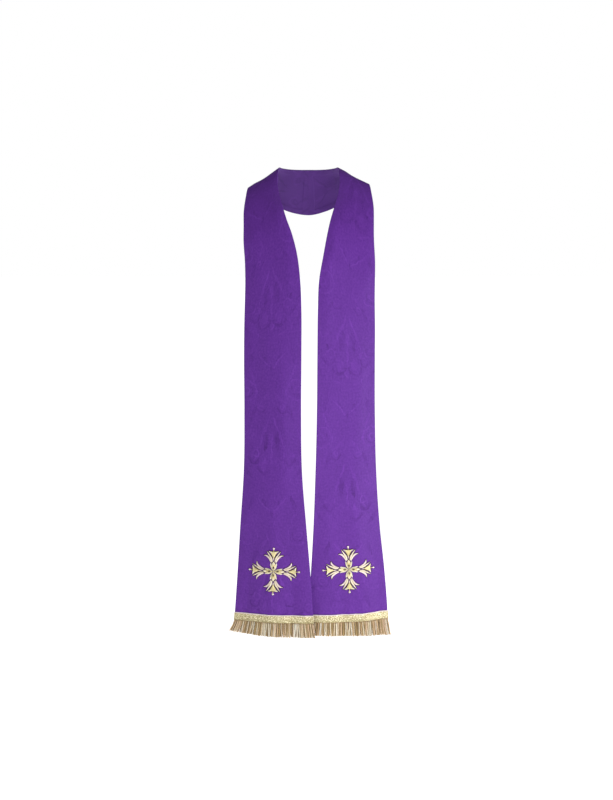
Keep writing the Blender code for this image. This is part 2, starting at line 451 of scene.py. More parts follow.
RINGS = [
    Ring(16, -20, 9, 1.6, 0.7, 4),
    Ring(28, -94, 11, 1.8, -0.7, 3),
    Ring(28, -92, 5, 1.8, 0.7, 99),
    Ring(62, -52, 24, 1.8, 0.8, 99),
    Ring(64, -52, 15, 1.8, -0.6, 10),
    Ring(66, -52, 8, 1.6, 0.7, 99),
    Ring(40, -206, 8, 2.0, 0.8, 99),
    Ring(20, -238, 16, 2.8, -1.0, 1),
    Ring(45, -218, 13, 2.6, -1.0, 2),
    Ring(60, -192, 12, 2.4, -0.8, 4),
    Ring(58, -160, 10, 1.6, 0.7, 6),
]
# The width of the shapes' soft edges, in millimetres.
SOFT_EDGE = 2.0


def leaf_value(u, v, leaf):
    """A pointed leaf that grows from its foot, at an angle in degrees from upwards."""
    turn = math.radians(leaf.angle)
    beside = u - leaf.across
    over = v - leaf.up
    along = beside * math.sin(turn) + over * math.cos(turn)
    aside = beside * math.cos(turn) - over * math.sin(turn)
    reach = along * (2.0 / leaf.length) - 1.0
    shape = reach * reach + aside.absolute() * (1.0 / leaf.half_width)
    soft = SOFT_EDGE / leaf.half_width
    return shape.fading(1.0 - soft / 2, 1.0 + soft / 2)


def ring_value(u, v, ring):
    """A ring around its centre, up to its top."""
    beside = u - ring.across
    over = v - ring.up
    distance = (beside * beside + over * over).math("SQRT") - ring.radius
    edge = ring.half_width
    shown = over.fading(ring.top - SOFT_EDGE, ring.top + SOFT_EDGE)
    return distance.absolute().fading(edge - SOFT_EDGE / 2, edge + SOFT_EDGE / 2) * shown


def damask_figure(tree, across, along):
    """About 1 in the light shapes of the figure, -1 in the dark ones and 0 in the ground."""
    column = (across / REPEAT_ACROSS + 0.5).math("FLOOR")
    drop = column.math("MODULO", 2.0).absolute() * (REPEAT_DOWN / 2)
    u = across.wrapped(-REPEAT_ACROSS / 2, REPEAT_ACROSS / 2).absolute()
    v = (drop - along).wrapped(REPEAT_ABOVE - REPEAT_DOWN, REPEAT_ABOVE)
    figure = None
    for value_of, shapes in ((leaf_value, LEAVES), (ring_value, RINGS)):
        for shape in shapes:
            value = value_of(u, v, shape) * shape.weight
            figure = value if figure is None else figure + value
    return figure.math("MAXIMUM", -1.0).math("MINIMUM", 1.0)


# Shades of purple, from the darkest to the lightest.
PURPLES = [
    (0.0, (0.070, 0.0165, 0.172)),
    (0.5, (0.126, 0.0315, 0.296)),
    (1.0, (0.190, 0.0510, 0.426)),
]
WRONG_SIDE_PURPLES = [
    (0.0, (0.055, 0.0160, 0.130)),
    (1.0, (0.120, 0.0370, 0.260)),
]
WARP_PITCH = 0.55
WEFT_PITCH = 0.70

# The figure's lines stray by up to half of this many millimetres, as woven ones do.
STRAY = 13.0
STRAY_ACROSS = Noise(62.0, 2.0)
STRAY_ALONG = Noise(55.0, 2.0)
# Streaks lie along the warp, and are this many times as long as they are wide.
STREAKS = Noise(700.0, 3.0)
STREAK_STRETCH = 10.0
CLOUDS = Noise(11.0, 3.0)
BACK_CLOUDS = Noise(14.0, 3.0)
GRAIN = Noise(210.0, 2.0)
# The figure is stronger in some patches: a noise times gain, less drop, and never under least.
Patches = namedtuple("Patches", "noise gain drop least")
BROAD_PATCHES = Patches(Noise(14.0, 1.0), 2.0, 0.45, 0.10)
SMALL_PATCHES = Patches(Noise(60.0, 1.0), 2.2, 0.20, 0.15)

# How much each pattern changes the ground's shade, and stands out as a share of the bump's depth.
Weights = namedtuple("Weights", "ground figure streaks clouds figure_relief streak_relief")
FRONT = Weights(0.5, 0.27, 0.46, 0.25, 0.8, 1.6)
BACK = Weights(0.6, -0.22, 0.3, 0.3, 0.6, 2.0)
GRAIN_SHADE = 0.50
GRAIN_RELIEF = 1.2
THREAD_RELIEF = 0.35
GROUND_ROUGHNESS = 0.42
FIGURE_ROUGHNESS = 0.10
SHEEN_ROUGHNESS = 0.45
SHEEN_TINT = (0.62, 0.40, 1.0, 1.0)


def cloth_texture(tree):
    """The place on the flat cloth, in millimetres and as a vector in metres, the figure and streaks."""
    coordinates = tree.nodes.new("ShaderNodeUVMap")
    coordinates.uv_map = "cloth"
    parts = tree.nodes.new("ShaderNodeSeparateXYZ")
    tree.links.new(coordinates.outputs["UV"], parts.inputs["Vector"])
    across = Value(tree, parts.outputs["X"]) / MM
    along = Value(tree, parts.outputs["Y"]) / MM
    place = coordinates.outputs["UV"]
    drawn_across = across + (noise(tree, place, STRAY_ACROSS) - 0.5) * STRAY
    drawn_along = along + (noise(tree, place, STRAY_ALONG) - 0.5) * STRAY
    figure = damask_figure(tree, drawn_across, drawn_along)
    stretch = tree.nodes.new("ShaderNodeMapping")
    stretch.inputs["Scale"].default_value = (1.0, 1.0 / STREAK_STRETCH, 1.0)
    tree.links.new(place, stretch.inputs["Vector"])
    streaks = noise(tree, stretch.outputs["Vector"], STREAKS)
    return across, along, place, figure, streaks


def patch_strength(tree, place, patches):
    spread = noise(tree, place, patches.noise) * patches.gain - patches.drop
    return spread.math("MAXIMUM", patches.least)


def make_damask():
    """Tone on tone: the figure is a little lighter or darker than the ground, and duller."""
    material, tree, shader = new_material("damask", roughness=0.48, sheen=0.06, specular=0.10)
    shader.inputs["Sheen Roughness"].default_value = SHEEN_ROUGHNESS
    shader.inputs["Sheen Tint"].default_value = SHEEN_TINT
    across, along, place, figure, streaks = cloth_texture(tree)
    clouds = noise(tree, place, CLOUDS)
    grain = noise(tree, place, GRAIN)
    strength = patch_strength(tree, place, BROAD_PATCHES) * patch_strength(tree, place, SMALL_PATCHES)
    shade = figure * strength * FRONT.figure + (streaks - 0.5) * FRONT.streaks
    shade = shade + (grain - 0.5) * GRAIN_SHADE + (clouds - 0.5) * FRONT.clouds + FRONT.ground
    tree.links.new(colour_ramp(tree, shade, PURPLES), shader.inputs["Base Color"])
    roughness = figure.absolute() * FIGURE_ROUGHNESS + GROUND_ROUGHNESS
    tree.links.new(roughness.socket, shader.inputs["Roughness"])
    threads = (across * (math.tau / WARP_PITCH)).sine() + (along * (math.tau / WEFT_PITCH)).sine()
    height = figure * FRONT.figure_relief + threads * THREAD_RELIEF
    height = height + streaks * FRONT.streak_relief + grain * GRAIN_RELIEF
    add_bump(tree, shader, height, strength=0.35)
    return material


def make_wrong_side():
    """The back of the damask is duller, and what is light on the front is dark."""
    material, tree, shader = new_material("damask_wrong_side", roughness=0.62, sheen=0.1, specular=0.18)
    _, _, place, figure, streaks = cloth_texture(tree)
    clouds = noise(tree, place, BACK_CLOUDS)
    shade = figure * BACK.figure + (clouds - 0.5) * BACK.clouds
    shade = shade + (streaks - 0.5) * BACK.streaks + BACK.ground
    tree.links.new(colour_ramp(tree, shade, WRONG_SIDE_PURPLES), shader.inputs["Base Color"])
    add_bump(tree, shader, figure * BACK.figure_relief + streaks * BACK.streak_relief, strength=0.3)
    return material


# A thread's shades from the darkest to the lightest, its finish, and its speckle: how strong it is,
# and how many features it has to the metre. On the metal threads the speckle is partly their own
# mottle and partly painted glints, as lit metal shows.
Thread = namedtuple("Thread", "name stops roughness metallic specular speckle per_metre")
FIBRES = Noise(1400.0, 2.0)
BRAID_STOPS = [(0.0, (0.30, 0.24, 0.10)), (0.5, (0.56, 0.475, 0.25)), (1.0, (0.92, 0.86, 0.60))]
# The upper edge's pale pink thread, lightened as painted highlight where the light catches it.
EDGE_AND_HIGHLIGHT_STOPS = [(0.0, (0.72, 0.55, 0.56)), (1.0, (0.98, 0.86, 0.90))]
# The darkest, brown shades are mostly painted shade, taken by the cords behind the locks.
CORD_STOPS = [
    (0.0, (0.130, 0.070, 0.026)),
    (0.35, (0.600, 0.420, 0.180)),
    (0.60, (0.920, 0.660, 0.460)),
    (0.80, (0.930, 0.800, 0.540)),
    (1.0, (0.920, 0.870, 0.740)),
]
GOLD_STOPS = [(0.0, (0.40, 0.31, 0.10)), (0.5, (0.68, 0.58, 0.27)), (1.0, (0.88, 0.80, 0.48))]
CREAM_STOPS = [(0.0, (0.60, 0.50, 0.36)), (0.5, (0.83, 0.74, 0.58)), (1.0, (0.95, 0.90, 0.78))]
ROSE_STOPS = [(0.0, (0.58, 0.42, 0.42)), (0.5, (0.83, 0.67, 0.68)), (1.0, (0.97, 0.85, 0.90))]
# Near black: outline stitching, and painted shade around the raised stitches.
DARK_AND_SHADE_STOPS = [(0.0, (0.030, 0.008, 0.026)), (1.0, (0.060, 0.018, 0.050))]
BRAID = Thread("galloon_braid", BRAID_STOPS, 0.38, 0.30, 0.5, 2.8, 420.0)
EDGE_AND_HIGHLIGHT = Thread("galloon_edge_and_highlight", EDGE_AND_HIGHLIGHT_STOPS, 0.45, 0.1, 0.5, 0.8, 600.0)
FRINGE_CORD = Thread("fringe_cord", CORD_STOPS, 0.42, 0.2, 0.5, 0.4, 1400.0)
# In the order of GOLD, CREAM, ROSE and DARK.
STITCHES = [
    Thread("gold_stitches", GOLD_STOPS, 0.38, 0.25, 0.5, 0.6, 1400.0),
    Thread("cream_stitches", CREAM_STOPS, 0.45, 0.1, 0.5, 0.5, 1400.0),
    Thread("rose_stitches", ROSE_STOPS, 0.45, 0.1, 0.5, 0.5, 1400.0),
    Thread("dark_stitches_and_shade", DARK_AND_SHADE_STOPS, 0.6, 0.0, 0.15, 0.4, 1400.0),
]


def thread_material(thread):
    """Thread whose shade comes from the mesh's tint and a fine speckle."""
    material, tree, shader = new_material(
        thread.name, thread.roughness, thread.metallic, sheen=0.1, specular=thread.specular
    )
    tint = tree.nodes.new("ShaderNodeAttribute")
    tint.attribute_name = "tint"
    place = tree.nodes.new("ShaderNodeTexCoord").outputs["Object"]
    # Lighter and darker flecks: the thread's own mottle, and on the metal threads painted glints too.
    speckle = (noise(tree, place, Noise(thread.per_metre, 1.0)) - 0.5) * thread.speckle
    shade = Value(tree, tint.outputs["Fac"]) + speckle
    tree.links.new(colour_ramp(tree, shade, thread.stops), shader.inputs["Base Color"])
    add_bump(tree, shader, noise(tree, place, FIBRES), strength=0.25)
    return material


# -------- panels
CLOTH_THICKNESS = 2.0 * MM
GALLOON_HEIGHT = 20.0 * MM
ROW_PITCH = 3.4 * MM
FINE_ROW_PITCH = 0.8 * MM
CLOSEST_ROWS = 0.04 * MM
# The turned edge at the back: its width, its step and how far the step's slope reaches either way.
TURNING = 13 * MM
TURNING_STEP = 0.6 * MM
TURNING_OUTER_SLOPE = 0.4 * MM
TURNING_INNER_SLOPE = 1.2 * MM
SEAM_GROOVE = 0.5 * MM
SEAM_GROOVE_REACH = 1.2 * MM
# The halves run into one another by this much each, so that no light shows through the seam.
SEAM_OVERLAP = 0.05 * MM
STITCH_DENT = 0.8 * MM
STITCH_DENT_REACH = 2.2 * MM
FLAT_COLUMNS = 54
# In millimetres: columns from either edge, rows from the centre back and rows from the hem.
EDGE_COLUMNS = [0.0, 0.15, 0.5, 1.0, 2.0, 4.0, 7.0, 10.5, 12.6, 13.6, 15.0, 18.0]
SEAM_ROWS = [0.0, 0.1, 0.3, 0.6, 1.0, 1.6]
HEM_ROWS = [1.0, 0.5, 0.15, 0.0]
# Fine rows lie this near to the galloon's top, and on either side of the turning's edge.
NEAR_GALLOON = 8 * MM
ABOVE_TURNING = 2 * MM
BELOW_TURNING = 3 * MM
COARSE_START = 4 * MM
COARSE_END = 2 * MM


def panel_columns(width):
    """Places across a panel, from its inner edge, closer together near both edges."""
    near = np.array(EDGE_COLUMNS) * MM
    middle = np.linspace(near[-1], width - near[-1], FLAT_COLUMNS)[1:-1]
    return np.concatenate([near, middle, width - near[::-1]])


def panel_rows(hem):
    """Distances from the centre back, closer together at the seam, the galloon and the hem."""
    top = hem - GALLOON_HEIGHT
    seam = np.array(SEAM_ROWS) * MM
    turning = np.arange(TURNING - ABOVE_TURNING, TURNING + BELOW_TURNING, FINE_ROW_PITCH)
    near = np.arange(top - NEAR_GALLOON, top + NEAR_GALLOON, FINE_ROW_PITCH)
    end = hem - np.array(HEM_ROWS) * MM
    coarse = np.arange(COARSE_START, hem - COARSE_END, ROW_PITCH)
    rows = np.unique(np.concatenate([seam, turning, near, end, coarse]))
    keep = np.concatenate([[True], np.diff(rows) > CLOSEST_ROWS])
    return rows[keep]


def make_cloth(band, damask, wrong_side):
    """One half of the band, its edges turned to the back, with the wrong side showing behind."""
    side = band.side
    rows = panel_rows(band.hem)
    count = 2 * len(EDGE_COLUMNS) + FLAT_COLUMNS - 2
    points = np.empty((len(rows), 2 * count, 3))
    flat = np.empty((len(rows), 2 * count, 2))
    radius = CLOTH_THICKNESS / 2
    top = band.hem - GALLOON_HEIGHT
    for index, along in enumerate(rows):
        width = float(band.width(along))
        columns = panel_columns(width)
        edge = np.minimum(np.minimum(columns, width - columns), band.hem - along)
        fall = rounded_edge(edge, radius)
        seam = SEAM_GROOVE * (1 - smoothstep(0.0, SEAM_GROOVE_REACH, along))
        dent = STITCH_DENT * math.exp(-(((along - top) / STITCH_DENT_REACH) ** 2))
        inside = smoothstep(
            TURNING - TURNING_OUTER_SLOPE, TURNING + TURNING_INNER_SLOPE, np.minimum(edge, along)
        )
        turned = TURNING_STEP * (1 - inside)
        front = -np.minimum(fall + seam + dent, radius)
        back = -CLOTH_THICKNESS - turned + fall
        lifts = np.concatenate([front, back[::-1]])
        places = np.concatenate([columns, columns[::-1]])
        points[index] = band.point(along, places / width, lifts)
        flat[index, :, 0] = places - width / 2
        flat[index, :, 1] = along - NOTCH_ALONG[side]
    points[0, :, 0] = -band.sign * SEAM_OVERLAP
    vertices, faces = ribbon_mesh(points)
    slots = ribbon_slots(points, faces, count, 2 * count - 1)
    tints = np.zeros(len(vertices))
    sides = [damask, wrong_side]
    cloth = make_object("cloth_" + side, vertices, faces, slots, sides, tints, band.sign > 0)
    corners = np.empty(len(cloth.data.loops), dtype=np.int32)
    cloth.data.loops.foreach_get("vertex_index", corners)
    layer = cloth.data.uv_layers.new(name="cloth")
    layer.data.foreach_set("uv", flat.reshape(-1, 2)[corners].astype(np.float32).ravel())
    settle(cloth, "panel_" + side)
    return cloth


# -------- galloons
GALLOON_BACK = 0.02 * MM
GALLOON_GAP = 0.3 * MM
GALLOON_GROUND = 0.45 * MM
GALLOON_EDGE_SHARE = 0.35
GALLOON_EDGE_REACH = 0.9 * MM
GALLOON_OVERHANG = 0.6 * MM
GALLOON_PITCH = 0.7 * MM
GALLOON_PLACES = 36
SELVEDGE = 1.2 * MM
SELVEDGE_HALF_WIDTH = 0.7 * MM
SELVEDGE_TWIST = 1.7 * MM
BRAID_REPEAT = 7.0 * MM
BRAID_RELIEF = 0.75 * MM
RIB_PITCH = 1.4 * MM
# The heights of the weave's parts, as shares of that relief.
SELVEDGE_HEIGHT = 0.8
LATTICE_HEIGHT = 0.6
RIB_HEIGHT = 0.16
TWIST_DEPTH = 0.25
TWIST_SLANT = 0.8
# Painted shade and highlight: the braid's tint rises with its relief, darker in the weave's hollows
# and lighter on its raised threads, from the middle one at this height. It is a little darker
# towards the lower selvedge.
RELIEF_SHADE_PER_METRE = 420
MIDDLE_SHADE_HEIGHT = 0.30 * MM
LOWER_DARKENING = 0.18
# The first few faces across the front are the paler upper edge: its pale pink thread, made paler
# still as painted highlight where the light catches the top of the braid.
EDGE_AND_HIGHLIGHT_FACES = 4


def braid_relief(down, beside):
    """The height of the braid's weave: two corded selvedges and a lattice of lozenges between."""
    edge = np.minimum(down, GALLOON_HEIGHT - down)
    selvedge = np.exp(-(((edge - SELVEDGE) / SELVEDGE_HALF_WIDTH) ** 2))
    twist = np.sin(math.tau * (beside + TWIST_SLANT * down) / SELVEDGE_TWIST)
    cord = SELVEDGE_HEIGHT * selvedge * (1 - TWIST_DEPTH + TWIST_DEPTH * twist)
    rising = np.abs(np.sin(math.pi * (beside + down) / BRAID_REPEAT))
    falling = np.abs(np.sin(math.pi * (beside - down) / BRAID_REPEAT))
    ribs = RIB_HEIGHT * np.sin(math.tau * beside / RIB_PITCH)
    inside = smoothstep(SELVEDGE * 1.6, SELVEDGE * 2.6, edge)
    lattice = LATTICE_HEIGHT * np.maximum(rising, falling) ** 3 + ribs
    return (cord + lattice * inside) * BRAID_RELIEF


def make_galloon(band, braid, edge_and_highlight):
    """A flat braid along the hem, which runs just past both edges of the cloth."""
    side = band.side
    width = float(band.width(band.hem))
    steps = int(width / GALLOON_PITCH)
    beside = np.linspace(-GALLOON_OVERHANG, width + GALLOON_OVERHANG, steps + 1)[:, None]
    down = np.linspace(0.0, GALLOON_HEIGHT, GALLOON_PLACES)[None, :]
    weave = braid_relief(down, beside)
    edge = np.minimum(down, GALLOON_HEIGHT - down)
    rounded = smoothstep(0.0, GALLOON_EDGE_REACH, edge)
    rounded = GALLOON_EDGE_SHARE + (1 - GALLOON_EDGE_SHARE) * rounded
    lift = GALLOON_GAP + (GALLOON_GROUND + weave) * rounded
    along = band.hem - GALLOON_HEIGHT + down
    front = band.point(along, beside / width, lift)
    back = band.point(along, beside / width, GALLOON_BACK)
    points = np.concatenate([front, back[:, ::-1]], axis=1)
    vertices, faces = ribbon_mesh(points)
    tints = np.full(points.shape[:2], 0.5)
    # Painted shade in the hollows of the weave, and painted highlight on its raised threads.
    tints[:, :GALLOON_PLACES] += RELIEF_SHADE_PER_METRE * (weave - MIDDLE_SHADE_HEIGHT)
    tints[:, :GALLOON_PLACES] -= LOWER_DARKENING * smoothstep(0.6, 1.0, down / GALLOON_HEIGHT)
    slots = ribbon_slots(points, faces, 0, EDGE_AND_HIGHLIGHT_FACES)
    name = "galloon_" + side + "_braid"
    materials = [braid, edge_and_highlight]
    galloon = make_object(name, vertices, faces, slots, materials, tints.ravel(), band.sign < 0)
    settle(galloon, "galloon_" + side)
    return galloon


# -------- fringes
FRINGE_LENGTH = 38.0 * MM
FRINGE_UNEVEN = 1.6 * MM
FRINGE_OUTER_SPREAD = {"left": 11.0 * MM, "right": 6.0 * MM}
FRINGE_OUTER_LONGER = {"left": -7.0 * MM, "right": 5.0 * MM}
FRINGE_INNER_SPREAD = 3.0 * MM
FRINGE_EVEN_SPREAD = 1.5 * MM
FRINGE_START = 1.2 * MM
CORD_STEPS = 26
CORD_SIDES = 7
CORD_TWIST = 7.0 * MM
CORD_BEND = 1.3
CORD_WAVES = 1.7
CORD_ROUND = 0.90
CORD_LOBES = 0.20
CORD_FADE = 0.10
# The share of its length over which a cord comes out to its own height over the cloth.
CORD_RISE = 0.35
# The share of its radius that a cord has in its first ring, and in its last two.
FIRST_TAPER = 0.8
LAST_TAPER = 0.7
LOCK_PITCH = 4.6 * MM
LOCK_CORD_PITCH = 1.4 * MM
BACK_CORD_PITCH = 1.45 * MM
LOCK_SIZES = [2, 2, 3]
Cord = namedtuple("Cord", "beside lean length lift tint radius turn wander")
# The tints of the locks, from bronze through gold, rose and cream to a greyish white.
LOCK_TINTS = [0.22, 0.36, 0.45, 0.62, 0.70, 0.80, 0.90]
LOCK_TINT_ERROR = 0.16
# Painted shade: the cords behind take the darkest tints, for the shadow of the locks in front.
BACK_SHADE_TINTS = (0.0, 0.22)
# Random measures, in millimetres: an error of the lean, and the limits of the others.
LOCK_LEAN_ERROR = 1.3
BACK_LEAN_ERROR = 0.3
LOCK_SPLAY = (-1.2, 0.9)
Limits = namedtuple("Limits", "shorter lift radius wander")
LOCK_LIMITS = Limits((0.0, 1.5), (0.7, 1.5), (0.74, 0.92), (-0.8, 0.8))
BACK_LIMITS = Limits((0.5, 2.6), (-1.3, -0.5), (1.15, 1.3), (-0.25, 0.25))


def fringe_lean(side, share):
    """How far a cord leans outwards at its lower end, at a share of the way from the inner edge."""
    outer = FRINGE_OUTER_SPREAD[side] * share**4
    inner = FRINGE_INNER_SPREAD * (1 - share) ** 6
    return outer + FRINGE_EVEN_SPREAD * share - inner


def fringe_length(side, share):
    """How far down a cord reaches from the hem, at a share of the way from the inner edge."""
    return FRINGE_LENGTH + FRINGE_OUTER_LONGER[side] * share**4


def draw(generator, limits):
    """A random length in metres, between two limits in millimetres."""
    return generator.uniform(*limits) * MM


def plan_lock(side, width, share, generator):
    """Two or three cords side by side, of one tint or nearly so."""
    lean = fringe_lean(side, share) + generator.gauss(0.0, LOCK_LEAN_ERROR) * MM
    length = fringe_length(side, share) - generator.uniform(0.0, FRINGE_UNEVEN)
    tint = generator.choice(LOCK_TINTS)
    members = generator.choice(LOCK_SIZES)
    for member in range(members):
        place = member - (members - 1) / 2
        yield Cord(
            beside=share * width + place * LOCK_CORD_PITCH,
            lean=lean + place * draw(generator, LOCK_SPLAY),
            length=length - draw(generator, LOCK_LIMITS.shorter),
            lift=draw(generator, LOCK_LIMITS.lift),
            tint=min(max(tint + generator.gauss(0.0, LOCK_TINT_ERROR), 0.0), 1.0),
            radius=draw(generator, LOCK_LIMITS.radius),
            turn=generator.uniform(0, math.tau),
            wander=draw(generator, LOCK_LIMITS.wander),
        )


def plan_back_cord(side, width, share, generator):
    """A thicker cord behind the locks, which closes the gaps between them, darkened as painted shade."""
    return Cord(
        beside=share * width,
        lean=fringe_lean(side, share) + generator.gauss(0.0, BACK_LEAN_ERROR) * MM,
        length=fringe_length(side, share) - draw(generator, BACK_LIMITS.shorter),
        lift=draw(generator, BACK_LIMITS.lift),
        tint=generator.uniform(*BACK_SHADE_TINTS),
        radius=draw(generator, BACK_LIMITS.radius),
        turn=generator.uniform(0, math.tau),
        wander=draw(generator, BACK_LIMITS.wander),
    )


def plan_cords(side, width, generator):
    """The fringe's cords: locks in front, and single cords behind."""
    cords = []
    locks = int(width / LOCK_PITCH)
    for number in range(locks):
        cords.extend(plan_lock(side, width, (number + 0.5) / locks, generator))
    behind = int(width / BACK_CORD_PITCH)
    for number in range(behind):
        cords.append(plan_back_cord(side, width, (number + 0.5) / behind, generator))
    return cords


def cord_body(band, cord, width):
    """A cord of two plies: a lobed section that turns as it goes down."""
    share = np.linspace(0.0, 1.0, CORD_STEPS)
    down = share * (cord.length + FRINGE_START) - FRINGE_START
    aside = cord.beside + cord.lean * share**CORD_BEND
    aside = aside + cord.wander * np.sin(math.pi * share * CORD_WAVES)
    lift = cord.lift * smoothstep(0.0, CORD_RISE, share)
    middle = band.point(band.hem + down, aside / width, lift)
    angles = np.arange(CORD_SIDES) * math.tau / CORD_SIDES
    lobes = CORD_ROUND + CORD_LOBES * np.cos(2 * angles)
    taper = np.ones(CORD_STEPS)
    taper[0] = FIRST_TAPER
    taper[-2:] = LAST_TAPER
    phase = angles[None, :] + cord.turn + math.tau * down[:, None] / CORD_TWIST
    reach = cord.radius * lobes[None, :] * taper[:, None]
    points = middle[:, None, :] + np.zeros((1, CORD_SIDES, 3))
    points[..., 0] += reach * np.cos(phase)
    points[..., 1] += reach * np.sin(phase)
    return points


def tube_faces(rows, ring):
    """The triangles of a closed tube of rings, with both ends shut by fans."""
    index = np.arange(rows * ring).reshape(rows, ring)
    after = np.roll(index, -1, axis=1)
    here, beside, below, across = index[:-1], after[:-1], index[1:], after[1:]
    upper = np.stack([here, below, across], axis=-1).reshape(-1, 3)
    lower = np.stack([here, across, beside], axis=-1).reshape(-1, 3)
    fan = np.arange(1, ring - 1)
    first = np.stack([np.zeros_like(fan), fan, fan + 1], axis=-1)
    last = first[:, ::-1] + (rows - 1) * ring
    return np.concatenate([upper, lower, first, last])


def make_fringe(band, material):
    """All the cords of one fringe, each a little paler towards its lower end."""
    side = band.side
    width = float(band.width(band.hem))
    faces = tube_faces(CORD_STEPS, CORD_SIDES)
    fade = np.repeat(np.linspace(0.0, CORD_FADE, CORD_STEPS), CORD_SIDES)
    bodies = []
    for cord in plan_cords(side, width, random.Random("fringe " + side)):
        points = cord_body(band, cord, width)
        bodies.append((points.reshape(-1, 3), faces, 0, cord.tint + fade))
    vertices, faces, slots, tints = joined(bodies)
    name = "fringe_" + side + "_cords"
    fringe = make_object(name, vertices, faces, slots, [material], tints, False)
    settle(fringe, "fringe_" + side)
    return fringe


# -------- crosses
CROSS_ABOVE_HEM = {"left": 129.0 * MM, "right": 132.5 * MM}
CROSS_WIDEN = 132.0 / 129.0
CROSS_SHORTEN = 119.0 / 129.0
CROSS_TILT_DEGREES = {"left": 1.6, "right": 1.1}
# The next eight are in millimetres.
CROSS_OUTWARDS = {"left": -3.0, "right": 0.0}
CROSS_BACK = 0.02
STITCH_PITCH = 0.7
STITCH_RIDGE = 0.10
OUTLINE = 1.3
UNDERLAY = 0.15
UNDERLAY_PITCH = 1.2
LEAST_BLUNTING = 0.5
# A stitch's ends lie ahead of its middle by this share of its half width.
STITCH_SLANT = 0.20
FEWEST_ROWS = 8
RING_PLACES = 7
STITCH_TINTS = (0.35, 0.65)
GOLD, CREAM, ROSE, DARK = 0, 1, 2, 3

# One arm of a cross, in millimetres from its centre. Each shape follows a spine, with half widths at
# even steps along it, and bulges from its edge's height to its top. Its dark outline, partly outline
# stitching and partly painted shade around the raised stitches, has the given width. It stands on
# both sides of the arm where mirror is set.
Shape = namedtuple("Shape", "spine half_widths edge top thread outline mirror")
ARM = [
    # The broad foot, and its two corners.
    Shape([(0, 1.6), (0, 10), (0, 18.6)], [1.2, 4.4, 6.5, 7.4, 7.3, 6.4], 0.3, 1.1, CREAM, 1.0, False),
    Shape([(4.6, 13), (6.4, 17.4), (7.3, 22.2)], [1.6, 1.7, 0.3], 0.6, 1.2, CREAM, 0.0, True),
    # The outer leaf, the inner leaf and a gold vein on the inner one.
    Shape(
        [(5.6, 24), (8.4, 31.5), (13.0, 38), (18.3, 41.8), (23.8, 42.3)],
        [1.3, 2.3, 2.4, 2.1, 0.3], 0.3, 1.2, ROSE, OUTLINE, True,
    ),
    Shape(
        [(3.4, 25.5), (5.6, 35), (10.2, 43.4), (16.2, 53.2)],
        [1.3, 2.1, 1.9, 1.4, 0.3], 0.3, 1.3, CREAM, OUTLINE, True,
    ),
    Shape([(5.2, 26), (7.6, 33.5), (12.0, 40.2)], [0.3, 0.8, 0.9, 0.3], 1.1, 1.6, GOLD, 0.0, True),
    # A drop below the bud, the bud and its pale corners.
    Shape([(0, 29.5), (0, 33.5), (0, 38.5)], [0.3, 1.3, 1.0], 0.3, 1.0, ROSE, 0.8, False),
    Shape([(0, 35.5), (0, 44), (0, 52.4)], [0.8, 2.2, 3.9, 5.9, 8.4, 11.0], 0.3, 1.3, GOLD, 2.2, False),
    Shape([(3.6, 51.4), (7.4, 52.0), (12.0, 53.6)], [0.9, 1.7, 0.3], 1.0, 1.7, CREAM, 0.0, True),
    # A stalk with a round tip.
    Shape([(0, 52), (0, 56), (0, 59.5)], [0.7, 0.7, 0.9], 0.3, 1.0, GOLD, 0.7, False),
    Shape([(0, 58.4), (0, 61.1), (0, 63.8)], [0.6, 2.2, 2.6, 2.2, 0.6], 0.3, 1.7, ROSE, 0.9, False),
]
# Over the foot: a gold leaf, its pale point and a dark slot in it.
ARM_TOP = [
    Shape([(0, 3.4), (0, 14), (0, 26.6)], [0.6, 3.0, 4.3, 4.5, 3.2, 0.3], 1.1, 1.6, GOLD, 0.5, False),
    Shape([(0, 17.5), (0, 21), (0, 26.4)], [1.4, 2.2, 0.3], 1.5, 1.9, CREAM, 0.0, False),
    Shape([(0, 6.4), (0, 10), (0, 14.2)], [0.4, 1.8, 1.5, 0.3], 1.6, 1.9, DARK, 0.0, False),
]
HUB = Shape([(0, -1.8), (0, 0), (0, 1.8)], [0.6, 1.7, 0.6], 1.2, 2.0, GOLD, 0.7, False)


def smooth_line(points, count):
    """count points along a smooth line through points, and its unit direction at each."""
    knots = distances(points)
    slopes = np.gradient(points, knots, axis=0)
    line = smooth_between(knots, points, slopes, np.linspace(0.0, knots[-1], count))
    direction = np.gradient(line, axis=0)
    direction /= np.linalg.norm(direction, axis=1, keepdims=True)
    return line, direction


